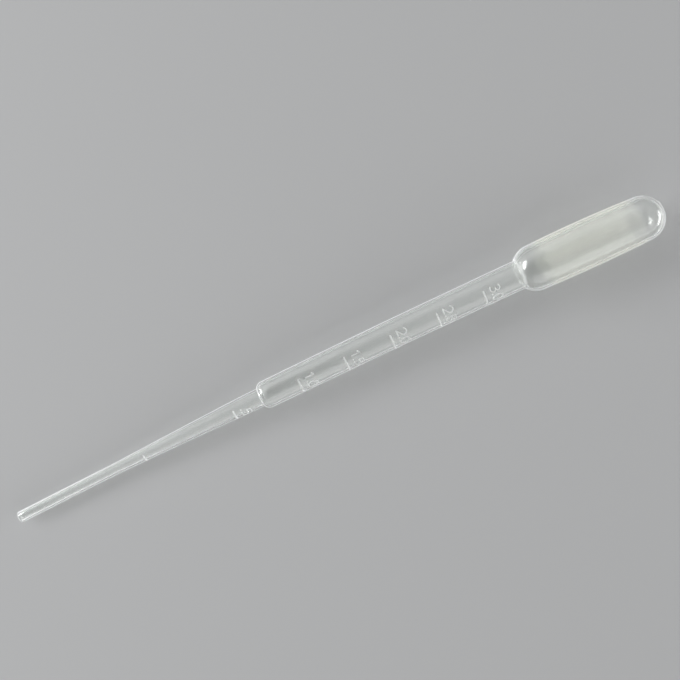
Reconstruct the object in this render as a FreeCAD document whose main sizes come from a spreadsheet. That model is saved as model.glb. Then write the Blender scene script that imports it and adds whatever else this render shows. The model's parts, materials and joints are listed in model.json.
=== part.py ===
import FreeCAD, Part
import math
import os
from types import SimpleNamespace

import Sketcher

# A plastic dropper pipette, also called a transfer pipette: a drawn tip, a stem with raised volume
# marks and a squeeze bulb. It is blow moulded from low-density polyethylene as one hollow piece, open
# only at the tip, so it is one body here. The body is drawn along its own +X from the tip's mouth,
# with the volume marks facing its own +Z and the mould's parting plane on its own XY plane. Its
# Placement then rolls it and lays it down, resting on the step below the stem and on the bulb.

# Driving sizes in millimetres and degrees: alias, value, what it measures.
SIZES = [
    ("tip_diameter", 3.06, "outside of the drawn tip"),
    ("tip_length", 29.4, "parallel length of the tip"),
    ("tip_wall", 0.46, "wall of the tip, its taper and its collar"),
    ("taper_length", 39.6, "length over which the tip widens to the collar"),
    ("collar_diameter", 5.1, "outside of the collar under the step"),
    ("collar_length", 3.6, "parallel length of the collar"),
    ("step_round", 2.0, "round of the step where the stem begins"),
    ("stem_foot_diameter", 7.6, "outside of the stem just above the step"),
    ("stem_head_diameter", 8.0, "outside of the stem where the bulb begins"),
    ("stem_length", 75.9, "from the face of the step to the bulb"),
    ("stem_wall", 0.46, "wall of the stem and its step"),
    ("bulb_length", 41.2, "from the stem to the far end of the bulb"),
    ("bulb_diameter", 13.0, "widest outside of the bulb"),
    ("shoulder_fall", 0.23, "radius that the bulb loses from its widest place to its shoulder"),
    ("end_fall", 0.38, "radius that the bulb loses from its widest place to its far end"),
    ("bulb_wall", 0.42, "wall of the bulb"),
    ("corner_round", 0.3, "round in the two inner corners of the outside"),
    ("first_mark_gap", 11.4, "from the face of the step to the 1 ml mark"),
    ("last_mark_gap", 11.0, "from the 3 ml mark to the bulb"),
    ("collar_mark_gap", 4.3, "from the half millilitre mark to the collar"),
    ("taper_mark_gap", 8.4, "from the parallel tip to the small mark on the taper"),
    ("mark_height", 0.17, "how far a mark stands out of the wall"),
    ("mark_width", 0.28, "width of a mark along its top"),
    ("mark_foot_width", 0.62, "width of a mark at its sunk foot"),
    ("mark_sink", 0.2, "how deep a mark's foot is sunk in the wall"),
    ("mark_sweep", 84.0, "angle that a mark covers round the pipette"),
    ("seam_height", 0.1, "height of the pinched seam on the far end"),
    ("seam_width", 0.2, "width of the seam along its top"),
    ("seam_foot_width", 0.4, "width of the seam at its sunk foot"),
    ("seam_sweep", 70.0, "angle that the pinched seam covers"),
    ("rest_roll", 40.0, "turn of the marks away from straight up as it lies"),
]
STEM_MARK_COUNT = 5  # 1.0, 1.5, 2.0, 2.5 and 3.0 ml, evenly spaced

# Lengths and radii that follow from the driving sizes, as formulas for expressions.
STEP_FACE = "(Sizes.tip_length + Sizes.taper_length + Sizes.collar_length)"
SHOULDER_RADIUS = "(Sizes.bulb_diameter / 2 - Sizes.shoulder_fall)"
END_RADIUS = "(Sizes.bulb_diameter / 2 - Sizes.end_fall)"
MARKED_LENGTH = "(Sizes.stem_length - Sizes.first_mark_gap - Sizes.last_mark_gap)"

# How a Sketcher constraint names the points of an edge, and the sketch's own axes.
START, END, CENTRE = 1, 2, 3
H_AXIS, V_AXIS = -1, -2
ORIGIN = (-1, 1)
SAME_PLACE = 1e-4  # millimetres within which two points are one


def make_sheet(doc):
    """The spreadsheet that drives every size, one row for each."""
    sheet = doc.addObject("Spreadsheet::Sheet", "Sizes")
    for row, (alias, value, note) in enumerate(SIZES, start=1):
        sheet.set(f"A{row}", alias)
        sheet.set(f"B{row}", str(value))
        sheet.set(f"C{row}", note)
        sheet.setAlias(f"B{row}", alias)
    doc.recompute()
    return sheet


def read_sizes(sheet):
    """The sheet's values by alias, for first positions that the sketch solver then settles."""
    return SimpleNamespace(**{alias: float(sheet.get(alias)) for alias, _, _ in SIZES})


def make_sketch(body, name, role):
    """An empty sketch on one of the body's own origin planes."""
    sketch = body.newObject("Sketcher::SketchObject", name)
    plane = next(item for item in body.Origin.OriginFeatures if item.Role == role)
    sketch.AttachmentSupport = [(plane, "")]
    sketch.MapMode = "FlatFace"
    return sketch


def tie(sketch, kind, *where):
    """A constraint without a size."""
    sketch.addConstraint(Sketcher.Constraint(kind, *where))


def bind(sketch, name, formula, kind, *where):
    """A named constraint whose size follows a formula on the sheet."""
    value = float(sketch.evalExpression(formula))
    index = sketch.addConstraint(Sketcher.Constraint(kind, *where, value))
    sketch.renameConstraint(index, name)
    sketch.setExpression(f"Constraints.{name}", formula)


def add_line(sketch, start, finish, construction=False):
    ends = [FreeCAD.Vector(x, y, 0) for x, y in (start, finish)]
    return sketch.addGeometry(Part.LineSegment(*ends), construction)


def add_arc(sketch, centre, radius, first, last):
    """An arc that runs anticlockwise about its centre from the point first to the point last."""
    angles = [math.atan2(y - centre[1], x - centre[0]) % (2 * math.pi) for x, y in (first, last)]
    circle = Part.Circle(FreeCAD.Vector(*centre, 0), FreeCAD.Vector(0, 0, 1), radius)
    return sketch.addGeometry(Part.ArcOfCircle(circle, *angles), False)


def left_of(centre, radius, height):
    """Where a circle's left side stands at a height above the axis."""
    reach = math.sqrt(radius**2 - (height - centre[1]) ** 2)
    return centre[0] - reach, height


def away_from(far, centre, radius):
    """The point of a circle that lies furthest from the point far."""
    length = math.hypot(centre[0] - far[0], centre[1] - far[1])
    return tuple(c + radius * (c - f) / length for c, f in zip(centre, far))


def outside_form(size):
    """Centres and radii of the outside of the wall."""
    tip, collar = size.tip_diameter / 2, size.collar_diameter / 2
    foot, head = size.stem_foot_diameter / 2, size.stem_head_diameter / 2
    crown = size.bulb_diameter / 2
    shoulder, dome = crown - size.shoulder_fall, crown - size.end_fall
    face = size.tip_length + size.taper_length + size.collar_length
    step_height = foot - size.step_round
    step_reach = math.sqrt(size.step_round**2 - (collar - step_height) ** 2)
    neck = face + size.stem_length
    shoulder_at = neck + math.sqrt(shoulder**2 - head**2)
    dome_at = neck + size.bulb_length - dome
    # The barrel is one long arc that runs tangent from the shoulder over the crown to the far end.
    rise = math.sqrt(crown - shoulder) + math.sqrt(crown - dome)
    barrel = ((dome_at - shoulder_at) / rise) ** 2 / 2
    crown_at = shoulder_at + math.sqrt(2 * barrel * (crown - shoulder))
    return SimpleNamespace(
        tip=tip,
        collar=collar,
        foot=foot,
        head=head,
        step=size.step_round,
        shoulder=shoulder,
        dome=dome,
        barrel=barrel,
        step_centre=(face + step_reach, step_height),
        shoulder_centre=(shoulder_at, 0.0),
        dome_centre=(dome_at, 0.0),
        barrel_centre=(crown_at, crown - barrel),
    )


def inside_form(form, size):
    """The same form moved in by the wall: its arcs keep their centres."""
    return SimpleNamespace(
        tip=form.tip - size.tip_wall,
        collar=form.collar - size.tip_wall,
        foot=form.foot - size.stem_wall,
        head=form.head - size.stem_wall,
        step=form.step - size.stem_wall,
        shoulder=form.shoulder - size.bulb_wall,
        dome=form.dome - size.bulb_wall,
        barrel=form.barrel - size.bulb_wall,
        step_centre=form.step_centre,
        shoulder_centre=form.shoulder_centre,
        dome_centre=form.dome_centre,
        barrel_centre=form.barrel_centre,
    )


def draw_wall_face(sketch, form, size):
    """One face of the wall from the mouth to the far end: three lines, the step's arc, the stem and
    the bulb's three arcs. Returns each edge's number by name."""
    taper_end = size.tip_length + size.taper_length
    mouth, tip_end = (0.0, form.tip), (size.tip_length, form.tip)
    collar_foot = (taper_end, form.collar)
    collar_head = left_of(form.step_centre, form.step, form.collar)
    stem_foot = (form.step_centre[0], form.foot)
    stem_head = left_of(form.shoulder_centre, form.shoulder, form.head)
    shoulder_top = away_from(form.barrel_centre, form.shoulder_centre, form.shoulder)
    dome_top = away_from(form.barrel_centre, form.dome_centre, form.dome)
    pole = (form.dome_centre[0] + form.dome, 0.0)
    edges = SimpleNamespace(
        tip=add_line(sketch, mouth, tip_end),
        taper=add_line(sketch, tip_end, collar_foot),
        collar=add_line(sketch, collar_foot, collar_head),
        step=add_arc(sketch, form.step_centre, form.step, stem_foot, collar_head),
        stem=add_line(sketch, stem_foot, stem_head),
        shoulder=add_arc(sketch, form.shoulder_centre, form.shoulder, shoulder_top, stem_head),
        barrel=add_arc(sketch, form.barrel_centre, form.barrel, dome_top, shoulder_top),
        dome=add_arc(sketch, form.dome_centre, form.dome, pole, dome_top),
    )
    for edge in (edges.tip, edges.collar):
        tie(sketch, "Horizontal", edge)
    tie(sketch, "PointOnObject", edges.tip, START, V_AXIS)
    tie(sketch, "Coincident", edges.tip, END, edges.taper, START)
    tie(sketch, "Coincident", edges.taper, END, edges.collar, START)
    tie(sketch, "Coincident", edges.collar, END, edges.step, END)
    tie(sketch, "Tangent", edges.step, START, edges.stem, START)
    tie(sketch, "Coincident", edges.stem, END, edges.shoulder, END)
    tie(sketch, "Tangent", edges.shoulder, START, edges.barrel, END)
    tie(sketch, "Tangent", edges.barrel, START, edges.dome, END)
    tie(sketch, "PointOnObject", edges.dome, START, H_AXIS)
    return edges


def size_outside(sketch, edges, form):
    """Binds the outside to the sheet."""
    heights = (
        ("tip_radius", "Sizes.tip_diameter / 2", edges.tip),
        ("collar_radius", "Sizes.collar_diameter / 2", edges.collar),
        ("stem_foot_radius", "Sizes.stem_foot_diameter / 2", edges.stem),
    )
    for name, formula, edge in heights:
        bind(sketch, name, formula, "DistanceY", *ORIGIN, edge, START)
    head = "Sizes.stem_head_diameter / 2"
    bind(sketch, "stem_head_radius", head, "DistanceY", *ORIGIN, edges.stem, END)
    for name, edge in (("tip", edges.tip), ("taper", edges.taper), ("collar", edges.collar)):
        ends = (edge, START, edge, END)
        bind(sketch, f"{name}_length", f"Sizes.{name}_length", "DistanceX", *ends)
    ends = (edges.collar, END, edges.stem, END)
    bind(sketch, "stem_length", "Sizes.stem_length", "DistanceX", *ends)
    ends = (edges.stem, END, edges.dome, START)
    bind(sketch, "bulb_length", "Sizes.bulb_length", "DistanceX", *ends)
    bind(sketch, "step_round", "Sizes.step_round", "Radius", edges.step)
    bind(sketch, "shoulder_radius", SHOULDER_RADIUS, "Radius", edges.shoulder)
    bind(sketch, "end_radius", END_RADIUS, "Radius", edges.dome)
    for edge in (edges.shoulder, edges.dome):
        tie(sketch, "PointOnObject", edge, CENTRE, H_AXIS)
    # A level construction line touches the barrel at its crown, which sets the bulb's diameter.
    crown = form.barrel_centre[1] + form.barrel
    ends = [(centre[0], crown) for centre in (form.shoulder_centre, form.dome_centre)]
    level = add_line(sketch, *ends, construction=True)
    tie(sketch, "Horizontal", level)
    tie(sketch, "Vertical", level, START, edges.shoulder, CENTRE)
    tie(sketch, "Vertical", level, END, edges.dome, CENTRE)
    tie(sketch, "Tangent", level, edges.barrel)
    bind(sketch, "crown_radius", "Sizes.bulb_diameter / 2", "DistanceY", *ORIGIN, level, START)


def size_inside(sketch, inner, outer):
    """Ties the bore to the outside by the walls: lines run parallel and arcs share centres."""
    bind(sketch, "tip_wall", "Sizes.tip_wall", "DistanceY", inner.tip, START, outer.tip, START)
    ends = (inner.collar, START, outer.collar, START)
    bind(sketch, "collar_wall", "Sizes.tip_wall", "DistanceY", *ends)
    tie(sketch, "Vertical", inner.tip, END, outer.tip, END)
    tie(sketch, "Vertical", inner.collar, START, outer.collar, START)
    tie(sketch, "Parallel", inner.stem, outer.stem)
    for name in ("step", "shoulder", "barrel", "dome"):
        edges = (getattr(inner, name), CENTRE, getattr(outer, name), CENTRE)
        tie(sketch, "Coincident", *edges)
    bind(sketch, "step_bore", "Sizes.step_round - Sizes.stem_wall", "Radius", inner.step)
    shoulder = f"{SHOULDER_RADIUS} - Sizes.bulb_wall"
    bind(sketch, "shoulder_bore", shoulder, "Radius", inner.shoulder)


def make_wall(body, size):
    """The hollow pipette: the wall's section turned once about the pipette's axis."""
    sketch = make_sketch(body, "WallSection", "XZ_Plane")
    form = outside_form(size)
    outer = draw_wall_face(sketch, form, size)
    inner = draw_wall_face(sketch, inside_form(form, size), size)
    mouth = add_line(sketch, (0.0, form.tip - size.tip_wall), (0.0, form.tip))
    tie(sketch, "Coincident", mouth, START, inner.tip, START)
    tie(sketch, "Coincident", mouth, END, outer.tip, START)
    poles = [(form.dome_centre[0] + form.dome - wall, 0.0) for wall in (size.bulb_wall, 0)]
    end_wall = add_line(sketch, *poles)
    tie(sketch, "Coincident", end_wall, START, inner.dome, START)
    tie(sketch, "Coincident", end_wall, END, outer.dome, START)
    size_outside(sketch, outer, form)
    size_inside(sketch, inner, outer)
    wall = body.newObject("PartDesign::Revolution", "Wall")
    wall.Profile = sketch
    wall.ReferenceAxis = (sketch, ["H_Axis"])
    wall.Angle = 360
    body.Document.recompute()
    contacts = [sketch.Geometry[edge] for edge in (outer.step, outer.barrel)]
    return wall, contacts


def round_corners(body, wall, size):
    """Rounds the outside's two inner corners: collar to step, and stem to bulb."""
    face = size.tip_length + size.taper_length + size.collar_length
    corners = (
        (face, size.collar_diameter / 2),
        (face + size.stem_length, size.stem_head_diameter / 2),
    )
    names = []
    for number, edge in enumerate(wall.Shape.Edges, start=1):
        if edge.Degenerated or not isinstance(edge.Curve, Part.Circle):
            continue
        place = (edge.Curve.Center.x, edge.Curve.Radius)
        if any(math.dist(place, corner) < SAME_PLACE for corner in corners):
            names.append(f"Edge{number}")
    corner_round = body.newObject("PartDesign::Fillet", "CornerRounds")
    corner_round.Base = (wall, names)
    corner_round.setExpression("Radius", "Sizes.corner_round")
    body.Document.recompute()
    return corner_round


def add_ridge_section(sketch, level, centre, half_top, half_foot, lengthwise):
    """A ridge's closed section with sloped flanks. level gives the heights of its foot and top,
    centre its middle. Lengthwise ridges stand up along the sketch's height, others along its width.
    Returns the foot, first flank, top and second flank edges."""
    foot, top = level
    along = [centre - half_foot, centre + half_foot, centre + half_top, centre - half_top]
    heights = [foot, foot, top, top]
    corners = list(zip(along, heights) if lengthwise else zip(heights, along))
    edges = [add_line(sketch, corners[i], corners[(i + 1) % 4]) for i in range(4)]
    for i, edge in enumerate(edges):
        tie(sketch, "Coincident", edge, END, edges[(i + 1) % 4], START)
    for edge in (edges[0], edges[2]):
        tie(sketch, "Horizontal" if lengthwise else "Vertical", edge)
    tie(sketch, "Equal", edges[1], edges[3])
    return edges


def add_mark(body, name, place, surface, size):
    """A raised mark across the pipette. place and surface are formulas on the sheet: its distance
    from the mouth, and the outside radius of the wall there."""
    sketch = make_sketch(body, f"{name}Section", "XZ_Plane")
    radius, at = (float(sketch.evalExpression(formula)) for formula in (surface, place))
    level = (radius - size.mark_sink, radius + size.mark_height)
    halves = (size.mark_width / 2, size.mark_foot_width / 2)
    foot, _, top, _ = add_ridge_section(sketch, level, at, *halves, lengthwise=True)
    half_foot = "Sizes.mark_foot_width / 2"
    ends = (*ORIGIN, foot, START)
    bind(sketch, "foot_at", f"{place} - {half_foot}", "DistanceX", *ends)
    bind(sketch, "foot_radius", f"{surface} - Sizes.mark_sink", "DistanceY", *ends)
    bind(sketch, "foot_width", "Sizes.mark_foot_width", "DistanceX", foot, START, foot, END)
    bind(sketch, "top_width", "Sizes.mark_width", "DistanceX", top, END, top, START)
    rise = "Sizes.mark_sink + Sizes.mark_height"
    bind(sketch, "rise", rise, "DistanceY", foot, START, top, END)
    mark = body.newObject("PartDesign::Revolution", name)
    mark.Profile = sketch
    mark.ReferenceAxis = (sketch, ["H_Axis"])
    mark.Midplane = True
    mark.setExpression("Angle", "Sizes.mark_sweep")
    return mark


def add_marks(body, size):
    """The volume marks: a small one and the half millilitre on the taper, the rest on the stem."""
    taper_rise = "(Sizes.collar_diameter - Sizes.tip_diameter) / 2 / Sizes.taper_length"
    taper_places = (
        ("TaperMark", "Sizes.taper_mark_gap"),
        ("CollarMark", "(Sizes.taper_length - Sizes.collar_mark_gap)"),
    )
    for name, up_taper in taper_places:
        surface = f"Sizes.tip_diameter / 2 + {taper_rise} * {up_taper}"
        add_mark(body, name, f"Sizes.tip_length + {up_taper}", surface, size)
    stem_rise = "(Sizes.stem_head_diameter - Sizes.stem_foot_diameter) / 2 / Sizes.stem_length"
    spacing = f"{MARKED_LENGTH} / {STEM_MARK_COUNT - 1}"
    for number in range(STEM_MARK_COUNT):
        up_stem = f"(Sizes.first_mark_gap + {number} * {spacing})"
        surface = f"Sizes.stem_foot_diameter / 2 + {stem_rise} * {up_stem}"
        add_mark(body, f"StemMark{number + 1}", f"{STEP_FACE} + {up_stem}", surface, size)


def add_pinched_seam(body, size):
    """The short seam on the far end, where the closing mould pinched the hot tube shut."""
    sketch = make_sketch(body, "SeamSection", "XZ_Plane")
    centre = f"{STEP_FACE} + Sizes.stem_length + Sizes.bulb_length - {END_RADIUS}"
    at, radius = (float(sketch.evalExpression(formula)) for formula in (centre, END_RADIUS))
    level = (at + radius - size.bulb_wall / 2, at + radius + size.seam_height)
    halves = (size.seam_width / 2, size.seam_foot_width / 2)
    axis = add_line(sketch, (at, -radius), (at, radius), construction=True)
    tie(sketch, "Symmetric", axis, START, axis, END, H_AXIS)
    bind(sketch, "axis_at", centre, "DistanceX", *ORIGIN, axis, START)
    bind(sketch, "axis_length", f"2 * {END_RADIUS}", "DistanceY", axis, START, axis, END)
    foot, _, top, _ = add_ridge_section(sketch, level, 0.0, *halves, lengthwise=False)
    half_foot = "Sizes.seam_foot_width / 2"
    bind(sketch, "half_foot", half_foot, "DistanceY", foot, START, *ORIGIN)
    bind(sketch, "foot_width", "Sizes.seam_foot_width", "DistanceY", foot, START, foot, END)
    bind(sketch, "top_width", "Sizes.seam_width", "DistanceY", top, END, top, START)
    foot_reach = f"{END_RADIUS} - Sizes.bulb_wall / 2"
    bind(sketch, "foot_reach", foot_reach, "DistanceX", axis, START, foot, START)
    rise = "Sizes.bulb_wall / 2 + Sizes.seam_height"
    bind(sketch, "rise", rise, "DistanceX", foot, END, top, START)
    seam = body.newObject("PartDesign::Revolution", "PinchedSeam")
    seam.Profile = sketch
    seam.ReferenceAxis = (sketch, ["Axis0"])
    seam.Midplane = True
    seam.setExpression("Angle", "Sizes.seam_sweep")


def tilt_between(low, high):
    """The slope of the line that lies on both circles (centre x, centre height, radius)."""
    run, rise = high[0] - low[0], high[1] - low[1]
    return math.atan2(rise, run) - math.asin((low[2] - high[2]) / math.hypot(run, rise))


def resting_placement(contacts, size):
    """Lays the pipette on the ground on its bulb and on the step, or on the tip if that reaches
    lower. The origin is the middle of the ground that it covers."""
    step, barrel = ((arc.Center.x, arc.Center.y, arc.Radius) for arc in contacts)
    tip = (0.0, size.tip_diameter / 2, 0.0)
    tilt = min(tilt_between(support, barrel) for support in (tip, step))
    lift = barrel[1] * math.cos(tilt) - barrel[0] * math.sin(tilt) + barrel[2]
    end_radius = size.bulb_diameter / 2 - size.end_fall
    face = size.tip_length + size.taper_length + size.collar_length
    dome_at = face + size.stem_length + size.bulb_length - end_radius
    far_end = dome_at * math.cos(tilt) + end_radius + size.seam_height
    near_end = -size.tip_diameter / 2 * math.sin(tilt)
    middle = (near_end + far_end) / 2
    roll = FreeCAD.Rotation(FreeCAD.Vector(1, 0, 0), size.rest_roll)
    lean = FreeCAD.Rotation(FreeCAD.Vector(0, 1, 0), -math.degrees(tilt))
    print(f"tilt {math.degrees(tilt):.3f} deg, mouth centre at x {-middle:.3f} z {lift:.3f} mm")
    return FreeCAD.Placement(FreeCAD.Vector(-middle, 0, lift), lean * roll)


def make_pipette(doc, size):
    body = doc.addObject("PartDesign::Body", "Pipette")
    body.Label = "pipette"
    wall, contacts = make_wall(body, size)
    round_corners(body, wall, size)
    add_marks(body, size)
    add_pinched_seam(body, size)
    doc.recompute()
    body.Placement = resting_placement(contacts, size)
    doc.recompute()
    return body


def check(doc, bodies):
    """Stops before anything is written if a feature failed or a body isn't one sound solid."""
    for item in doc.Objects:
        if {"Invalid", "Error"} & set(item.State):
            raise RuntimeError(f"{item.Name} didn't build: {item.State}")
        if item.TypeId == "Sketcher::SketchObject" and item.solve() != 0:
            raise RuntimeError(f"{item.Name} has constraints that don't agree")
    for body in bodies:
        shape = body.Shape
        if shape.isNull() or not shape.isValid() or len(shape.Solids) != 1:
            raise RuntimeError(f"{body.Label} isn't one valid solid")


def main():
    doc = FreeCAD.newDocument("dropper_pipette")
    size = read_sizes(make_sheet(doc))
    bodies = [make_pipette(doc, size)]
    check(doc, bodies)
    os.makedirs("parts", exist_ok=True)
    for body in bodies:
        box = body.Shape.optimalBoundingBox()
        corners = [f"{value:.3f}" for value in (*box.getPoint(0), *box.getPoint(6))]
        print(f"{body.Label}: {body.Shape.Volume:.1f} mm3, from {corners[:3]} to {corners[3:]}")
        body.Shape.exportStep(os.path.join("parts", f"{body.Label}.step"))


main()
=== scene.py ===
# %% [markdown]
# # A plastic dropper pipette
#
# A transfer pipette is blow moulded from soft polyethylene in one go: a drawn tip, a stepped stem
# with raised volume marks, and a squeeze bulb with a pinched seam at its far end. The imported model
# says where it lies. This lesson gives it a thin real wall, the raised numbers, the slight bow that
# such a light moulding takes as it cools, and the milky plastic itself.
#
# The pipette is modelled lying straight along X from the origin, with its marks upwards, because
# rings and arcs are then simple to place. The finished mesh is laid down at the end.

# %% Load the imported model
import json
import math

import bpy
from mathutils import Matrix, Vector


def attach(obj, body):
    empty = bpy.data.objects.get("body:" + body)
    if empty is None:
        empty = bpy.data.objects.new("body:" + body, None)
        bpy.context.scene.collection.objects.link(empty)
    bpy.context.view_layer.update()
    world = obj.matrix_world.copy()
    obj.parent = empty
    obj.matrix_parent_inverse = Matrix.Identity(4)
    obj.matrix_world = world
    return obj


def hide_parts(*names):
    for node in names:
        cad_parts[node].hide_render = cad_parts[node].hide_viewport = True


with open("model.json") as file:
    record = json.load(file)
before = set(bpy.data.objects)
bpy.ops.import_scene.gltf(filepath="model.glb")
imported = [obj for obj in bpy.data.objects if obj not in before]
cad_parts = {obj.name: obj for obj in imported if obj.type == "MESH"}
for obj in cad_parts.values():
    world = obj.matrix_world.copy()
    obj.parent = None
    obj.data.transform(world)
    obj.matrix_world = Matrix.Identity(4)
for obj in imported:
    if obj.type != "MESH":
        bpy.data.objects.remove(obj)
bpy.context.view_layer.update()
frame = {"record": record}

MM = 0.001
tip_mount = next(mount for mount in frame["record"]["mounts"] if mount["name"] == "tip")
mouth = Vector(tip_mount["pos_m"])
along = -Vector(tip_mount["axis"])
lean = math.asin(along.z)
print("mouth at", [round(v, 5) for v in mouth], "lean", round(math.degrees(lean), 2), "degrees")

# %% [markdown]
# ## The sizes
#
# Only the sizes that the outline needs are written down, in millimetres. The tip's come with its
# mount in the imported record. Every place along the pipette is counted from the mouth.

# %% Sizes of the pipette
TIP_RADIUS, TIP_LENGTH = tip_mount["dims"]["r_mm"], tip_mount["dims"]["length_mm"]
TAPER_LENGTH = 39.6
COLLAR_RADIUS, COLLAR_LENGTH = 2.55, 3.6
STEP_ROUND = 2.0
FOOT_RADIUS, HEAD_RADIUS = 3.8, 4.0  # of the stem, at the step and at the bulb
STEM_LENGTH, BULB_LENGTH = 75.9, 41.2
BULB_RADIUS, SHOULDER_RADIUS, END_RADIUS = 6.5, 6.27, 6.12
WALL, BULB_WALL = 0.46, 0.42

taper_end = TIP_LENGTH + TAPER_LENGTH
step_face = taper_end + COLLAR_LENGTH
neck = step_face + STEM_LENGTH
far_end = neck + BULB_LENGTH
shoulder_centre = neck + math.sqrt(SHOULDER_RADIUS**2 - HEAD_RADIUS**2)
dome_centre = far_end - END_RADIUS
print("length from mouth to far end", round(far_end, 2), "mm")

# %% [markdown]
# ## The outline
#
# The pipette is round all along, so its shape is one outline: a line of stations, each a distance
# from the mouth and a radius. It could be drawn as a Bezier curve by eye. Straight stretches and
# arcs, worked out from the sizes, keep the shape exact. A straight stretch needs only enough
# stations to take the bow later.

# %% Straight stretches and arcs
def straight(start, end, gap=2.5):
    """Stations on a straight or conical stretch, without its last one."""
    (x0, r0), (x1, r1) = start, end
    count = max(1, math.ceil((x1 - x0) / gap))
    return [(x0 + (x1 - x0) * i / count, r0 + (r1 - r0) * i / count) for i in range(count)]


def arc(centre, height, radius, first, last, count):
    """Stations on an arc about (centre, height), from one angle to another, in degrees."""
    steps = [math.radians(first + (last - first) * i / count) for i in range(count + 1)]
    return [(centre + radius * math.cos(a), height + radius * math.sin(a)) for a in steps]


shaft = straight((0, TIP_RADIUS), (TIP_LENGTH, TIP_RADIUS))
shaft += straight((TIP_LENGTH, TIP_RADIUS), (taper_end, COLLAR_RADIUS))
shaft += straight((taper_end, COLLAR_RADIUS), (step_face, COLLAR_RADIUS))
print(len(shaft), "stations up to the step")

# %% [markdown]
# ## The step, the shoulder and the dome
#
# Blown plastic can't follow a sharp corner, so the stem opens out of the collar in a rounded step,
# and the bulb has a round shoulder and a round end. The step's arc runs out level into the stem. The
# shoulder's and the dome's are parts of two spheres, and the dome's last ring stands just off the
# pole, because a ring at the pole itself would have no size.

# %% Three rounded places
LAST_RING = 2  # degrees from the pole at which the dome's last ring stands
step_height = FOOT_RADIUS - STEP_ROUND
step_start = math.degrees(math.asin((COLLAR_RADIUS - step_height) / STEP_ROUND))
step_centre = step_face + STEP_ROUND * math.cos(math.radians(step_start))
step = arc(step_centre, step_height, STEP_ROUND, 180 - step_start, 90, count=14)
shoulder_start = 180 - math.degrees(math.asin(HEAD_RADIUS / SHOULDER_RADIUS))
shoulder = arc(shoulder_centre, 0, SHOULDER_RADIUS, shoulder_start, 90, count=20)
dome = arc(dome_centre, 0, END_RADIUS, 90, LAST_RING, count=36)
print(len(step), "stations on the step,", len(shoulder), "on the shoulder,", len(dome), "on the dome")

# %% [markdown]
# ## The barrel and the whole outline
#
# Between the shoulder and the dome the bulb swells by less than half a millimetre. A straight barrel
# would look like a pipe with caps. One flat arc, level where the bulb is widest, joins the two and
# gives the long soft reflections of a blown bulb.

# %% Join the outline
def barrel(count=24):
    """From the shoulder's widest ring to the dome's, as one flat arc of a radius named swell."""
    fall, end_fall = BULB_RADIUS - SHOULDER_RADIUS, BULB_RADIUS - END_RADIUS
    length = dome_centre - shoulder_centre
    share = math.sqrt(fall) / (math.sqrt(fall) + math.sqrt(end_fall))
    widest = shoulder_centre + share * length
    swell = (share * length) ** 2 / 2 / fall
    places = [shoulder_centre + length * i / count for i in range(1, count)]
    return [(x, BULB_RADIUS - swell + math.sqrt(swell**2 - (x - widest) ** 2)) for x in places]


outline = shaft + step[:-1] + straight(step[-1], (neck, HEAD_RADIUS))
outline += shoulder + barrel() + dome
print(len(outline), "stations")

# %% [markdown]
# ## The outside skin
#
# A moulded tube could be lathed with a spun profile, or built by extruding one ring from station to
# station. Extruding is what a modeller does by hand, and it starts from one circle that stands
# across the line of the pipette. A new object is always made with nothing else selected, because an
# operator acts on all that is selected.

# %% The ring at the mouth
RING = 112  # corners in each ring


def start_afresh():
    """Goes back to object mode, with nothing selected."""
    if bpy.context.mode != "OBJECT":
        bpy.ops.object.mode_set(mode="OBJECT")
    bpy.ops.object.select_all(action="DESELECT")


start_afresh()
first_place, first_radius = outline[0]
bpy.ops.mesh.primitive_circle_add(
    vertices=RING, radius=first_radius * MM, location=(first_place * MM, 0, 0),
    rotation=(0, math.pi / 2, 0))
pipette = bpy.context.object
pipette.name = "soft_pipette"
bpy.ops.object.transform_apply(location=True, rotation=True, scale=True)
print("first ring:", RING, "corners,", round(2 * first_radius, 2), "mm across")

# %% [markdown]
# ## Pulling the ring along
#
# The ring is extruded to each station in turn and scaled to the radius there. The last ring is
# extruded once more, to the pole, and collapsed to a point, which closes the far end. The mouth
# stays open.

# %% Extrude the skin from ring to ring
bpy.ops.object.mode_set(mode="EDIT")
bpy.ops.mesh.select_all(action="SELECT")
for (x0, r0), (x1, r1) in zip(outline, outline[1:]):
    bpy.ops.mesh.extrude_edges_move(TRANSFORM_OT_translate={"value": ((x1 - x0) * MM, 0, 0)})
    bpy.ops.transform.resize(value=(1, r1 / r0, r1 / r0), center_override=(x1 * MM, 0, 0))
to_pole = far_end - outline[-1][0]
bpy.ops.mesh.extrude_edges_move(TRANSFORM_OT_translate={"value": (to_pole * MM, 0, 0)})
bpy.ops.mesh.merge(type="CENTER")
bpy.ops.mesh.select_all(action="SELECT")
bpy.ops.mesh.remove_doubles(threshold=0.001 * MM)
bpy.ops.mesh.normals_make_consistent(inside=False)
bpy.ops.object.mode_set(mode="OBJECT")
print("skin:", len(pipette.data.vertices), "corners,", len(pipette.data.polygons), "faces")

# %% [markdown]
# ## The wall
#
# The moulding is a hollow skin under half a millimetre thick, and light bends in that real
# thickness: it is what makes the edges bright and the middle clear. Solidify lays the wall inside
# the skin. The bulb is blown a little thinner, so a vertex group holds the full wall for the rest.

# %% Give the skin its wall
tube_part = pipette.vertex_groups.new(name="tube")
tube_part.add([v.index for v in pipette.data.vertices if v.co.x < neck * MM], 1.0, "REPLACE")
wall = pipette.modifiers.new("wall", "SOLIDIFY")
wall.thickness = WALL * MM
wall.offset = -1
wall.use_even_offset = True
wall.vertex_group = tube_part.name
wall.thickness_vertex_group = BULB_WALL / WALL
start_afresh()
bpy.context.view_layer.objects.active = pipette
pipette.select_set(True)
bpy.ops.object.modifier_apply(modifier=wall.name)
pipette.vertex_groups.clear()
print("wall:", len(pipette.data.polygons), "faces")

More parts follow.
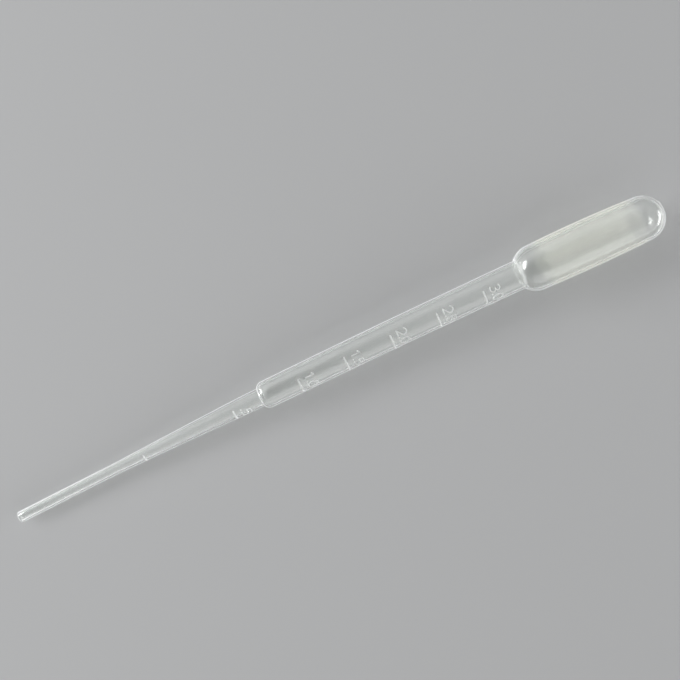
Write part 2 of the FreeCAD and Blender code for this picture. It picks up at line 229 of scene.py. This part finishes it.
# %% [markdown]
# ## The cut end
#
# The tip is trimmed square, which leaves a flat ring with slightly softened corners. Its two circles
# of edges are the only edges that lie in the plane of the mouth and keep to one radius, so they can
# be picked by place, and Bevel rounds them. Everything is deselected in edit mode first, because a
# face that stays selected would select its edges again.

# %% Round the corners of the mouth
LIP_ROUND = 0.09
IN_PLANE = 0.01  # how near the mouth's plane an edge lies to be one of its own
bpy.ops.object.mode_set(mode="EDIT")
bpy.ops.mesh.select_mode(type="EDGE")
bpy.ops.mesh.select_all(action="DESELECT")
start_afresh()
pipette.select_set(True)
for edge in pipette.data.edges:
    start, end = (pipette.data.vertices[i].co for i in edge.vertices)
    in_mouth = max(abs(start.x), abs(end.x)) < IN_PLANE * MM
    edge.select = in_mouth and abs(start.yz.length - end.yz.length) < WALL / 2 * MM
bpy.ops.object.mode_set(mode="EDIT")
bpy.ops.mesh.bevel(offset=LIP_ROUND * MM, segments=3, affect="EDGES")
bpy.ops.mesh.select_mode(type="VERT")
bpy.ops.object.mode_set(mode="OBJECT")
print("with rounded mouth:", len(pipette.data.polygons), "faces")

# %% [markdown]
# ## Raised lines
#
# The marks, the numbers and the parting line are all cut into the mould as round-bottomed grooves,
# so they stand out of the plastic as low rounded ridges. All of them follow the wall, so first comes
# a way to name a place on it: a distance from the mouth, a turn from the top and a depth. A
# Shrinkwrap modifier could find the wall too, but the outline already says where it is.

# %% Places on the wall
def radius_at(distance):
    """Outside radius of the wall at a distance from the mouth, read off the outline."""
    for (x0, r0), (x1, r1) in zip(outline, outline[1:]):
        if x0 <= distance <= x1:
            return r0 + (r1 - r0) * (distance - x0) / (x1 - x0)
    raise ValueError(f"nothing at {distance}")


def on_wall(distance, turn, depth):
    """A point below the outside of the wall. turn is in degrees from the top, towards -Y."""
    radius, angle = radius_at(distance) - depth, math.radians(turn)
    return Vector((distance, -radius * math.sin(angle), radius * math.cos(angle)))


print("the stem is", round(2 * radius_at(neck - STEM_LENGTH / 2), 2), "mm across half way up")

# %% [markdown]
# ## A ridge
#
# A ridge could be a profile swept by hand with extrude. A bevelled curve is the same sweep with less
# work: it lies along the outside of the wall, sunk until only its back shows. Its radius runs down
# to nearly nothing at both ends, as a groove made by a round cutter does.

# %% A ridge along the wall
# How far in from an end, and how thick it is there, both as shares of the full radius.
ROUND_END = [(0.0, 0.05), (0.12, 0.48), (0.4, 0.8), (1.0, 1.0)]
CLEAR_OF_END = 1.05  # radii from an end within which a point gives way to those of its rounding


def rounded(points, radius):
    """The points with extra ones near both ends, each with a share of the full radius."""
    found = []
    for end, beyond in ((points[0], points[1]), (points[-1], points[-2])):
        step_in = (beyond - end).normalized() * radius
        found.append([(end + step_in * s, size) for s, size in ROUND_END])
    middle = [(p, 1.0) for p in points[1:-1]
              if min((p - points[0]).length, (p - points[-1]).length) > radius * CLEAR_OF_END]
    return found[0] + middle + found[1][::-1]


def ridge(name, points, radius, closed=False, corners=3):
    """A round ridge through the points, which are millimetres, as a mesh of its own."""
    sized = [(p, 1.0) for p in points] if closed else rounded(points, radius)
    curve = bpy.data.curves.new(name, "CURVE")
    curve.dimensions, curve.bevel_depth, curve.bevel_resolution = "3D", radius * MM, corners
    curve.use_fill_caps = not closed
    line = curve.splines.new("POLY")
    line.points.add(len(sized) - 1)
    for point, (place, size) in zip(line.points, sized):
        point.co = (*(place * MM), 1)
        point.radius = size
    line.use_cyclic_u = closed
    made = bpy.data.objects.new(name, curve)
    bpy.context.scene.collection.objects.link(made)
    start_afresh()
    made.select_set(True)
    bpy.context.view_layer.objects.active = made
    bpy.ops.object.convert(target="MESH")
    return made


# %% [markdown]
# ## The volume marks
#
# Seven marks run round the marked side: two on the taper, and five on the stem, evenly spaced and
# half a millilitre apart. Each is one ridge that follows the wall round. A piece cut from a torus
# would give the same middle, but its ends would be cut flat, where a mark's run out into the wall.

# %% Marks round the wall
MARK_SWEEP, MARK_STEPS, STEM_MARKS = 84.0, 28, 5  # the sweep is in degrees round the wall
MARK_RADIUS, MARK_HEIGHT = 0.27, 0.18
TAPER_MARK_GAP, COLLAR_MARK_GAP = 8.4, 4.3   # from the tip's parallel part, and to the collar
FIRST_MARK_GAP, LAST_MARK_GAP = 11.4, 11.0   # from the step, and to the bulb
taper_mark = TIP_LENGTH + TAPER_MARK_GAP
collar_mark = taper_end - COLLAR_MARK_GAP
first_mark, last_mark = step_face + FIRST_MARK_GAP, neck - LAST_MARK_GAP
stem_marks = [first_mark + (last_mark - first_mark) * i / (STEM_MARKS - 1)
              for i in range(STEM_MARKS)]
turns = [MARK_SWEEP * (i / MARK_STEPS - 0.5) for i in range(MARK_STEPS + 1)]
ridges = []
for place in [taper_mark, collar_mark] + stem_marks:
    points = [on_wall(place, turn, MARK_RADIUS - MARK_HEIGHT) for turn in turns]
    ridges.append(ridge("mark", points, MARK_RADIUS))
marks = len(ridges)
print(marks, "marks at", [round(place, 1) for place in [taper_mark, collar_mark] + stem_marks])

# %% [markdown]
# ## The numbers
#
# A mould's numbers are cut with one small round cutter that follows a line, so every stroke is as
# wide as the next. They are drawn here the same way: a figure is one line on flat paper, and the
# paper is then wrapped round the wall. A font's figures would be flat-topped and thick in places,
# which isn't how these look. A line is made of straight runs, of bows, and of corners that turn no
# sharper than the cutter can.

# %% Bows and corners
STROKE_RADIUS, STROKE_HEIGHT = 0.21, 0.12


def bow_line(centre, size, first, last, count=14):
    """Points on an ellipse from one angle to another, in degrees, on the flat paper."""
    angles = [math.radians(first + (last - first) * i / count) for i in range(count + 1)]
    return [(centre[0] + size[0] * math.cos(a), centre[1] + size[1] * math.sin(a)) for a in angles]


def turned(before, corner, after, radius=STROKE_RADIUS * 1.3, count=5):
    """A corner of a figure's line, rounded a little more than the cutter's own radius, but over
    no more than half of the run before it or after it."""
    (x0, y0), (x1, y1), (x2, y2) = before, corner, after
    first, second = math.dist(before, corner), math.dist(corner, after)
    cut0, cut1 = min(radius / first, 0.5), min(radius / second, 0.5)
    starts = (x1 + (x0 - x1) * cut0, y1 + (y0 - y1) * cut0)
    ends = (x1 + (x2 - x1) * cut1, y1 + (y2 - y1) * cut1)
    shares = [i / count for i in range(count + 1)]
    return [((1 - s)**2 * starts[0] + 2 * s * (1 - s) * x1 + s**2 * ends[0],
             (1 - s)**2 * starts[1] + 2 * s * (1 - s) * y1 + s**2 * ends[1]) for s in shares]


print("a corner turns in", len(turned((0, 1), (0, 0), (1, 0))), "points")

# %% [markdown]
# ## The five figures
#
# The numbers need only 0, 1, 2, 3 and 5. Each is drawn in shares of one width and one height, so
# that all of them grow together, and its line then gets points close enough to bend with the wall.

# %% Figures as lines on flat paper
FIGURE_HEIGHT, FIGURE_WIDTH = 2.6, 1.8


def figure_line(figure, w=FIGURE_WIDTH, h=FIGURE_HEIGHT):
    """The line of a figure: (across, up) points in millimetres, from the middle of its foot."""
    half = w / 2
    if figure == "0":
        return bow_line((0, h / 2), (half, h / 2), 90, 450, count=28)
    if figure == "1":
        flag, top, foot = (-w * 0.3, h * 0.74), (w * 0.08, h), (w * 0.08, 0)
        return [flag] + turned(flag, top, foot) + [foot]
    if figure == "2":
        top = bow_line((0, h - half), (half, half), 165, -25)
        foot, end = (-half, 0), (half, 0)
        return top + turned(top[-1], foot, end) + [end]
    if figure == "3":
        upper, lower, waist = h * 0.24, h * 0.27, (-w * 0.1, h * 0.53)
        top = bow_line((-w * 0.04, h - upper), (w * 0.44, upper), 150, -60)
        bottom = bow_line((-w * 0.04, lower), (w * 0.52, lower), 65, -150)
        return top + turned(top[-1], waist, bottom[0]) + bottom
    if figure == "5":
        bowl = bow_line((-w * 0.04, h * 0.31), (w * 0.52, h * 0.31), 118, -145)
        end, corner, heel = (w * 0.42, h), (-w * 0.38, h), (-w * 0.44, h * 0.52)
        return [end] + turned(end, corner, heel) + turned(corner, heel, bowl[0]) + bowl
    raise ValueError(figure)


def even_steps(line, gap=0.16):
    """The same line with points close enough together to wrap round the wall."""
    found = [line[0]]
    for (a0, b0), (a1, b1) in zip(line, line[1:]):
        count = max(1, round(math.dist((a0, b0), (a1, b1)) / gap))
        found += [(a0 + (a1 - a0) * i / count, b0 + (b1 - b0) * i / count)
                  for i in range(1, count + 1)]
    return found


print("a 3 is", len(even_steps(figure_line("3"))), "points")

# %% [markdown]
# ## Wrapping the paper round
#
# A number stands beside its mark, on the bulb's side, and reads round the wall when the tip hangs
# down. Across on the paper becomes a turn round the wall, and up becomes a distance along it. A
# Curve or Shrinkwrap modifier could do the wrapping, but two lines of arithmetic are exact.

# %% Wrap the numbers round the wall
NUMBER_GAP = 1.85     # from a mark to the foot of its number
LAST_FIGURE = 0.4     # middle of the last figure, round the wall from the middle of the marks
POINT_PLACE, FIRST_FIGURE = -1.4, -2.7  # middles of the point and the first figure before it
POINT_RISE = 0.1      # middle of the point above the foot of the number
POINT_RADIUS = STROKE_RADIUS * 1.2


def stamp(label, place):
    """A number beside the mark at place, reading round the wall with the tip downwards."""
    surface = radius_at(place + NUMBER_GAP + FIGURE_HEIGHT / 2)
    middles = dict(zip(reversed(range(len(label))), (0, POINT_PLACE, FIRST_FIGURE)))
    for i, figure in enumerate(label):
        across = LAST_FIGURE + middles[i]
        if figure == ".":
            centre = on_wall(place + NUMBER_GAP + POINT_RISE, math.degrees(across / surface),
                             STROKE_RADIUS - STROKE_HEIGHT)
            start_afresh()
            bpy.ops.mesh.primitive_uv_sphere_add(
                segments=14, ring_count=10, radius=POINT_RADIUS * MM, location=centre * MM)
            ridges.append(bpy.context.object)
            continue
        points = [on_wall(place + NUMBER_GAP + up, math.degrees((across + right) / surface),
                          STROKE_RADIUS - STROKE_HEIGHT)
                  for right, up in even_steps(figure_line(figure))]
        closed = figure == "0"
        ridges.append(ridge("figure", points[:-1] if closed else points, STROKE_RADIUS, closed))


LABELS = [".5", "1.0", "1.5", "2.0", "2.5", "3.0"]
for label, place in zip(LABELS, [collar_mark] + stem_marks):
    stamp(label, place)
print("numbers", LABELS, "make", len(ridges) - marks, "ridges")

# %% [markdown]
# ## The parting line and the pinched seam
#
# The two halves of the mould meet a quarter turn either side of the marks and leave a hair line all
# the way round. At the far end, where they nip the hot tube shut, it grows into a short proud seam.
# Pushing out a line of the wall's own edges would be quicker, but it would be as wide as the faces
# beside it, and they are four times as wide on the bulb as on the tip. A ridge keeps one width. One
# runs up each side and stops short of the seam, and the seam goes over the pole.

# %% Parting line and seam
LINE_RADIUS, LINE_HEIGHT = 0.09, 0.03
LINE_START = 0.4  # from the mouth, past its rounded corner
SEAM_RADIUS, SEAM_HEIGHT, SEAM_HALF_SWEEP, SEAM_STEPS = 0.2, 0.1, 35.0, 24
LINE_END, LINE_STEP = SEAM_HALF_SWEEP + 3, 2  # degrees from the pole, and between two points


def over_the_end(degrees, depth):
    """A point below the outside of the dome, at an angle from the pole in the parting plane."""
    reach, angle = END_RADIUS - depth, math.radians(degrees)
    return Vector((dome_centre + reach * math.cos(angle), reach * math.sin(angle), 0))


for side in (1, -1):
    points = [on_wall(x, -90 * side, LINE_RADIUS - LINE_HEIGHT)
              for x, _ in outline if LINE_START < x < dome_centre]
    points += [over_the_end(side * (90 - i), LINE_RADIUS - LINE_HEIGHT)
               for i in range(0, round(90 - LINE_END) + 1, LINE_STEP)]
    ridges.append(ridge("parting_line", points, LINE_RADIUS, corners=2))
degrees = [SEAM_HALF_SWEEP * (i / SEAM_STEPS - 0.5) * 2 for i in range(SEAM_STEPS + 1)]
points = [over_the_end(d, SEAM_RADIUS - SEAM_HEIGHT) for d in degrees]
ridges.append(ridge("pinched_seam", points, SEAM_RADIUS))
print(len(ridges), "ridges in all")

# %% [markdown]
# ## One moulding
#
# The ridges are the same plastic as the wall. Left as pieces pushed into it they would show as
# separate bodies inside the clear wall, so a Boolean union makes one skin of them all.

# %% Join the ridges to the wall
start_afresh()
for made in ridges:
    made.select_set(True)
bpy.context.view_layer.objects.active = ridges[0]
bpy.ops.object.join()
raised = bpy.context.object
raised.name = "raised_lines"
bpy.ops.object.mode_set(mode="EDIT")
bpy.ops.mesh.select_all(action="SELECT")
bpy.ops.mesh.remove_doubles(threshold=0.002 * MM)
bpy.ops.mesh.normals_make_consistent(inside=False)
start_afresh()
bpy.context.view_layer.objects.active = pipette
pipette.select_set(True)
union = pipette.modifiers.new("union", "BOOLEAN")
union.operation, union.solver, union.object = "UNION", "MANIFOLD", raised
bpy.ops.object.modifier_apply(modifier=union.name)
bpy.data.objects.remove(raised)
print("one moulding:", len(pipette.data.polygons), "faces")

# %% [markdown]
# ## Raised faces
#
# A ridge's foot is a crisp corner on the real moulding, so the line round each is marked sharp, and
# smooth shading doesn't run over it. The faces could be picked by hand. While the pipette is still
# straight, they can be told by place: a raised face is further from the middle line than the
# outline is there.

# %% Tell the raised faces from the wall
PROUD = 0.006  # a face whose middle stands this far out of the outline is a raised one


def stands_out(face):
    """True for a face of a ridge, told by how far it is from the pipette's middle line."""
    x, reach = face.center.x / MM, math.hypot(face.center.y, face.center.z) / MM
    if x > dome_centre:
        return math.hypot(x - dome_centre, reach) > END_RADIUS + PROUD
    return x > LIP_ROUND and reach > radius_at(x) + PROUD


stands = [stands_out(face) for face in pipette.data.polygons]
bpy.ops.object.mode_set(mode="EDIT")
bpy.ops.mesh.select_mode(type="FACE")
bpy.ops.mesh.select_all(action="DESELECT")
start_afresh()
pipette.select_set(True)
pipette.data.polygons.foreach_set("select", stands)
bpy.ops.object.mode_set(mode="EDIT")
bpy.ops.mesh.region_to_loop()
bpy.ops.mesh.mark_sharp()
start_afresh()
pipette.select_set(True)
print(sum(stands), "raised faces")

# %% [markdown]
# ## Two notes for the finish
#
# The plastic is duller on the ridges and on the cut end, and it has fine streaks along the wall.
# Two attributes carry that to the finish. The one called frosted says how dull a face is. The one
# called drawn keeps each corner's distance from the mouth and its direction from the middle line, so
# that the streaks still follow the wall after it is bowed and laid down. Materials of their own for
# the ridges and the cut end would do for the first, but then one plastic would have three recipes.

# %% Frosted faces and drawn directions
CUT_FROST = 2.0  # how dull the cut end is, where a raised face is one
cut_face = [face.center.x / MM < LIP_ROUND for face in pipette.data.polygons]
frost = [CUT_FROST if cut else float(up) for up, cut in zip(stands, cut_face)]
pipette.data.attributes.new("frosted", "FLOAT", "FACE").data.foreach_set("value", frost)
directions = pipette.data.attributes.new("drawn", "FLOAT_VECTOR", "POINT")
for v, kept in zip(pipette.data.vertices, directions.data):
    kept.vector = (v.co.x, *(v.co.yz.normalized()))
print(sum(cut_face), "faces on the cut end")

# %% [markdown]
# ## Laying it down
#
# It lies as it came to rest: rolled so that the numbers look half to one side, leaning from the tip
# up on to the bulb, and very slightly bowed in the plane of the table. The bow could be a lattice or
# hand-moved rings. A Simple Deform bend is one number and keeps the wall's thickness: an arc whose
# middle rises a little over its ends turns by eight times that rise over its length.

# %% Roll, bow and lean
ROLL = 40.0
BOW = 1.24          # rise of the middle over the two ends, in millimetres
BOW_SHARE = 0.36    # share of it that the middle stands to the +Y side of the straight axis
SMOOTH_UNDER = 32   # degrees between two faces under which they are shaded as one
NEAR_END = 0.97     # share of the half length past which a corner counts as at an end
half_length = far_end * MM / 2
bpy.ops.transform.translate(value=(-half_length, 0, 0))
bpy.ops.object.transform_apply(location=True, rotation=False, scale=False)
pipette.data.transform(Matrix.Rotation(math.radians(ROLL), 4, "X"))
bend = pipette.modifiers.new("bow", "SIMPLE_DEFORM")
bend.deform_method, bend.deform_axis = "BEND", "Z"
bend.angle = -8 * BOW / far_end
bpy.ops.object.modifier_apply(modifier=bend.name)
ends = [v.co for v in pipette.data.vertices if abs(v.co.x) > half_length * NEAR_END]
print("ends bow to y", round(sum(c.y for c in ends) / len(ends) / MM, 2), "mm")
bpy.ops.object.shade_smooth_by_angle(angle=math.radians(SMOOTH_UNDER))
lay_down = Matrix.Translation(mouth + along * half_length) @ Matrix.Rotation(-lean, 4, "Y")
lay_down = lay_down @ Matrix.Translation((0, BOW * BOW_SHARE * MM, 0))
pipette.data.transform(lay_down)
lowest = min(v.co.z for v in pipette.data.vertices)
print("lowest point at", round(lowest / MM, 3), "mm")

# %% [markdown]
# ## Shader maths as expressions
#
# A material is a sum of small rules: more haze here, fewer streaks there. Wired by hand it is a
# tangle of Math nodes. A small class that wraps a socket lets the same rules be read as sums, and
# one method makes every other kind of node.

# %% A small wrapper for shader maths
class Shade:
    """A socket of one material, with arithmetic that adds Math nodes."""

    def __init__(self, tree, socket):
        self.tree, self.socket = tree, socket

    def node(self, kind, settings=None, output=0, **inputs):
        """Adds a node: its settings, then its sockets by name or as i0, i1 and so on."""
        made = self.tree.nodes.new(kind)
        for name, value in (settings or {}).items():
            setattr(made, name, value)
        for name, value in inputs.items():
            by_number = name[0] == "i" and name[1:].isdigit()
            socket = made.inputs[int(name[1:]) if by_number else name.replace("_", " ")]
            if isinstance(value, Shade):
                self.tree.links.new(value.socket, socket)
            else:
                socket.default_value = value
        return Shade(self.tree, made.outputs[output])

    def maths(self, operation, first, second=0.0):
        """Adds a Math node that works on two numbers, each a value or a socket."""
        return self.node("ShaderNodeMath", {"operation": operation}, i0=first, i1=second)

    def __add__(self, other):
        return self.maths("ADD", self, other)

    def __sub__(self, other):
        return self.maths("SUBTRACT", self, other)

    def __rsub__(self, other):
        return self.maths("SUBTRACT", other, self)

    def __mul__(self, other):
        return self.maths("MULTIPLY", self, other)

    __radd__, __rmul__ = __add__, __mul__

    def rising(self, first, last, low=0.0, high=1.0):
        """This value turned into low before first and high past last, smoothly between."""
        return self.node("ShaderNodeMapRange", {"interpolation_type": "SMOOTHSTEP"},
                         i0=self, i1=first, i2=last, i3=low, i4=high)

    def colour_between(self, first, second):
        """A colour that runs from first to second as this value goes from nought to one."""
        return self.node("ShaderNodeMix", {"data_type": "RGBA"}, output=2,
                         Factor=self, i6=first, i7=second)


# %% [markdown]
# ## A fresh material
#
# A new material comes with a shader of its own. Here it is cleared first, so that each finish starts
# from nothing but its output and is whole in its own cell.

# %% An empty material
def new_material(name):
    """A material with only its output, and the wrapper to build on."""
    made = bpy.data.materials.new(name)
    made.use_nodes = True
    made.node_tree.nodes.clear()
    output = made.node_tree.nodes.new("ShaderNodeOutputMaterial")
    return made, Shade(made.node_tree, output.inputs["Surface"])


# %% [markdown]
# ## Where the plastic is milky
#
# Thin low-density polyethylene is clear enough to see through and milky enough to glow a little. A
# volume scatter would be truest, but it is slow and noisy in a wall this thin. Here each surface of
# the wall is mostly clear and has a share of haze. The bulb's barrel is the milkiest, with clear
# plastic at its shoulder and its dome. Where the wall is seen edge on the eye looks through more of
# it, so the haze rises with Layer Weight's facing, and that makes the bright rims. The tip's wall is
# thick for its width, so the rim starts sooner there. The neck has a brighter ring, where plastic
# gathers in the mould's inner corner.

# %% Places along the pipette, and the haze
TUBE_HAZE, BULB_HAZE, CLEAR_HAZE = 0.025, 0.12, 0.012
FROSTED_HAZE, NECK_HAZE = 0.36, 0.2
RIM_HAZE, RIM_START_AT_TIP, RIM_START, RIM_RISE = 0.8, 0.28, 0.48, 0.3
NECK_RING = 0.7                        # half the width of the brighter ring at the neck
BARREL_FROM, BARREL_FULL = 5.5, 8.0    # from the neck
BARREL_FADES, BARREL_GONE = 9.0, 6.5   # from the far end
BULB_BEFORE, BULB_PAST = 0.5, 1.0      # from the neck, where the tube's haze turns into the bulb's

plastic, shade = new_material("soft_polyethylene")
place = shade.node("ShaderNodeTexCoord", output="Object")
from_mouth = (shade.node("ShaderNodeSeparateXYZ", i0=place) - mouth.x) * (1 / MM)
leaves_barrel = from_mouth.rising(far_end - BARREL_FADES, far_end - BARREL_GONE)
barrel_share = from_mouth.rising(neck + BARREL_FROM, neck + BARREL_FULL) * (1 - leaves_barrel)
in_bulb = from_mouth.rising(neck - BULB_BEFORE, neck + BULB_PAST)
neck_ring = from_mouth.rising(neck - NECK_RING, neck)
neck_ring = neck_ring * (1 - from_mouth.rising(neck, neck + NECK_RING))
base_haze = in_bulb * (CLEAR_HAZE - TUBE_HAZE) + barrel_share * (BULB_HAZE - CLEAR_HAZE) + TUBE_HAZE
edge_on = shade.node("ShaderNodeLayerWeight", output="Facing", Blend=0.5)
rim_from = from_mouth.rising(0.0, step_face, RIM_START_AT_TIP, RIM_START)
rim = edge_on.rising(rim_from, rim_from + RIM_RISE)
print("haze:", len(plastic.node_tree.nodes), "nodes so far")

# %% [markdown]
# ## Streaks and dull faces
#
# The hot tube was drawn out before it was blown, which leaves faint streaks along it. They are a
# noise that is stretched along the wall: it reads the drawn attribute, so it follows the bow and the
# taper. They vary the haze, the gloss and a slight bump. Raised faces and the cut end have a flat
# haze of their own, or their steep sides would glow as a rim does and blur the figures.

# %% Streaks, frost and bumps
STREAK_STRETCH = (9, 3.4, 3.4)  # patches of noise for each metre along and each radian round
STREAK_BUMP, CLOUD_BUMP = 0.6, 0.4
along_wall = shade.node("ShaderNodeAttribute", {"attribute_name": "drawn"}, output="Vector")
stretched = shade.node("ShaderNodeMapping", Vector=along_wall, Scale=STREAK_STRETCH)
streaks = shade.node("ShaderNodeTexNoise", Vector=stretched, Scale=1.0, Detail=1.5, Roughness=0.5)
clouds = shade.node("ShaderNodeTexNoise", Vector=place, Scale=140.0, Detail=2.0)
drawn_out = shade.node("ShaderNodeMapRange", Value=streaks,
                       From_Min=0.3, From_Max=0.7, To_Min=0.6, To_Max=1.4)
frosted = shade.node("ShaderNodeAttribute", {"attribute_name": "frosted"}, output="Fac")
not_wall = shade.maths("MINIMUM", frosted, 1.0)
wall_haze = base_haze * drawn_out + rim * RIM_HAZE + neck_ring * NECK_HAZE
haze = wall_haze * (1 - not_wall) + frosted * FROSTED_HAZE
bumps = shade.node("ShaderNodeBump", Strength=0.03, Distance=0.00005,
                   Height=streaks * STREAK_BUMP + clouds * CLOUD_BUMP)
print("with streaks and bumps:", len(plastic.node_tree.nodes), "nodes")

# %% [markdown]
# ## Mixing the plastic
#
# The clear share is a slightly rough glass that bends light as polyethylene does. The milky share is
# a plain waxy white, and a little yellow-green in the bulb's barrel, where there is most of it. Glass
# would throw a black shadow, because light isn't followed from a lamp through its bends. So a ray on
# its way to a lamp meets a pale clear film instead, which lets most of it through and leaves a soft
# shadow.

# %% Clear and milky plastic together
CLEAR_TINT = (0.97, 0.98, 0.97, 1)
TUBE_MILK, BULB_MILK = (0.93, 0.95, 0.95, 1), (0.93, 0.94, 0.87, 1)
GLOSS_ROUGHNESS, STREAK_ROUGHNESS, FROST_ROUGHNESS, MILK_ROUGHNESS = 0.1, 0.06, 0.46, 0.35
LIGHT_BEND = 1.51
PASSES_LIGHT = (0.72, 0.72, 0.715, 1)  # through one surface of the wall

dullness = streaks * STREAK_ROUGHNESS + not_wall * FROST_ROUGHNESS + GLOSS_ROUGHNESS
clear = shade.node("ShaderNodeBsdfPrincipled", Base_Color=CLEAR_TINT, Roughness=dullness,
                   IOR=LIGHT_BEND, Transmission_Weight=1.0, Normal=bumps)
milk = barrel_share.colour_between(TUBE_MILK, BULB_MILK)
milky = shade.node("ShaderNodeBsdfPrincipled", Base_Color=milk, Roughness=MILK_ROUGHNESS,
                   IOR=LIGHT_BEND, Normal=bumps)
body = shade.node("ShaderNodeMixShader", i0=haze, i1=clear, i2=milky)
film = shade.node("ShaderNodeBsdfTransparent", Color=PASSES_LIGHT)
towards_lamp = shade.node("ShaderNodeLightPath", output="Is Shadow Ray")
body = shade.node("ShaderNodeMixShader", i0=towards_lamp, i1=body, i2=film)
plastic.node_tree.links.new(body.socket, shade.socket)
pipette.data.materials.clear()
pipette.data.materials.append(plastic)
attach(pipette, "root")
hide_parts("pipette")
print("plastic:", len(plastic.node_tree.nodes), "nodes")

# %% [markdown]
# ## Rays that only look
#
# A studio's backdrop is lit apart from the thing on it, so its tone can be chosen freely. Here the
# same is done by asking each ray what it is for: one that comes from the camera, straight, by a
# reflection or through the clear plastic, sees the backdrop's own tone. One that has already been
# scattered by a dull surface is light on its way, and gets the room's plain light.

# %% Tell looking from lighting
def looked_at(on):
    """One for rays that come straight from the camera, a reflection or the clear plastic."""
    path = {name: on.node("ShaderNodeLightPath", output=name) for name in (
        "Is Camera Ray", "Is Glossy Ray", "Is Transmission Ray", "Diffuse Depth")}
    seen = path["Is Camera Ray"] + path["Is Glossy Ray"] + path["Is Transmission Ray"]
    return seen * on.maths("LESS_THAN", path["Diffuse Depth"], 0.5)


# %% [markdown]
# ## The floor
#
# A plain pale floor keeps the shadow near the pipette. Further off it fades into one even tone, for
# rays that only look at it, so that a low view has no bright or dark band where the floor ends. The
# light that the floor throws back on to the plastic isn't changed.

# %% Pale floor
FLOOR_TONE = (0.46, 0.465, 0.47, 1)
FLOOR_SIZE = 6
FADE_FROM, FADE_TO = 0.15, 0.4  # metres from the middle
start_afresh()
bpy.ops.mesh.primitive_plane_add(size=FLOOR_SIZE, location=(0, 0, 0))
floor = bpy.context.object
floor.name = "floor"
paper, on_paper = new_material("pale_floor")
lit = on_paper.node("ShaderNodeBsdfPrincipled", Base_Color=FLOOR_TONE, Roughness=0.9)
plain = on_paper.node("ShaderNodeEmission", Color=FLOOR_TONE, Strength=1.0)
spot = on_paper.node("ShaderNodeTexCoord", output="Object")
reach = on_paper.node("ShaderNodeVectorMath", {"operation": "LENGTH"}, output="Value", i0=spot)
far_off = reach.rising(FADE_FROM, FADE_TO)
finish = on_paper.node("ShaderNodeMixShader", i0=far_off * looked_at(on_paper), i1=lit, i2=plain)
paper.node_tree.links.new(finish.socket, on_paper.socket)
floor.data.materials.append(paper)
print("floor", FLOOR_SIZE, "m across, plain past", FADE_TO, "m")

# %% [markdown]
# ## The room
#
# The world gives plain white light from all round. What is seen of it, straight, in the gloss or
# through the plastic, is the floor's own tone near the horizon and darker overhead. A dark ceiling
# is what lets clear plastic look clear from above: a pale one would lie on it as a grey veil.

# %% World
AMBIENT, CEILING = 0.3, 0.2
DIMS_FROM, DIMS_TO = 0.2, 0.7  # height of the direction looked in, from nought to one

world = bpy.data.worlds.new("studio")
bpy.context.scene.world = world
world.use_nodes = True
world.node_tree.nodes.clear()
sky_out = world.node_tree.nodes.new("ShaderNodeOutputWorld")
sky = Shade(world.node_tree, sky_out.inputs["Surface"])
upward = sky.node("ShaderNodeTexCoord", output="Generated")
height = sky.node("ShaderNodeSeparateXYZ", output="Z", i0=upward)
tone = height.rising(DIMS_FROM, DIMS_TO).colour_between(FLOOR_TONE, (CEILING, CEILING, CEILING, 1))
room = sky.node("ShaderNodeBackground", Color=(1, 1, 1, 1), Strength=AMBIENT)
backdrop = sky.node("ShaderNodeBackground", Color=tone, Strength=1.0)
both = sky.node("ShaderNodeMixShader", i0=looked_at(sky), i1=room, i2=backdrop)
world.node_tree.links.new(both.socket, sky.socket)
print("world gives", AMBIENT, "of plain light")

# %% [markdown]
# ## The lamps
#
# Four soft lamps, each with its share of the light on the floor: with the world they add up to one.
# The window puts the small bright patches on the step and the shoulder. The softbox behind lays a
# faint sheen along the back, and the fill in front a broader one along the marked side. The fill is
# large, because a narrow one would lay a sharp streak over the figures. The low strip beyond the
# bulb puts the highlight across the dome. The camera doesn't see the lamps themselves, so no view
# has one in it. A lamp's power is worked out from the light that it gives the floor, so that it can
# be moved without making the scene brighter.

# %% Soft lamps
def soft_lamp(name, direction, distance, size, share):
    """An area lamp, metres off in a direction, that gives the floor this share of white light."""
    towards = Vector(direction).normalized()
    lamp = bpy.data.lights.new(name, "AREA")
    lamp.shape, lamp.size, lamp.size_y = "RECTANGLE", *size
    lamp.energy = share * math.pi**2 * distance**2 / towards.z
    holder = bpy.data.objects.new(name, lamp)
    bpy.context.scene.collection.objects.link(holder)
    holder.location = towards * distance
    holder.rotation_euler = towards.to_track_quat("Z", "Y").to_euler()
    holder.visible_camera = False
    print(name, "has", round(lamp.energy, 1), "watts")


soft_lamp("window", (-0.73, 0.5, 0.38), distance=1.2, size=(0.8, 0.36), share=0.38)
soft_lamp("softbox", (0.0, 0.75, 0.65), distance=1.5, size=(1.6, 1.4), share=0.06)
soft_lamp("fill", (0.0, -0.85, 0.42), distance=1.7, size=(2.6, 1.4), share=0.17)
soft_lamp("strip", (0.9, -0.37, 0.2), distance=1.2, size=(1.0, 0.22), share=0.09)

# %% [markdown]
# ## The camera
#
# It looks straight down, from a pipette's length and a quarter above the table, and is turned so
# that the pipette rises to the right. A Track To constraint could aim it. A camera with no rotation
# already looks down, though, so one turn about the vertical is all that it needs.

# %% Camera
LENS, SENSOR = 46.2, 36
CAMERA_PLACE = (3.46, 4.97, 236.8)  # millimetres
TURN = 25.64                        # degrees
looks = bpy.data.cameras.new("camera")
looks.lens, looks.sensor_width = LENS, SENSOR
looks.clip_start, looks.clip_end = 0.01, 100
camera = bpy.data.objects.new("camera", looks)
bpy.context.scene.collection.objects.link(camera)
camera.location = [v * MM for v in CAMERA_PLACE]
camera.rotation_euler = (0, 0, -math.radians(TURN))
bpy.context.scene.camera = camera
bpy.context.scene.view_settings.view_transform = "Standard"
print("camera", round(camera.location.z / MM, 1), "mm up")
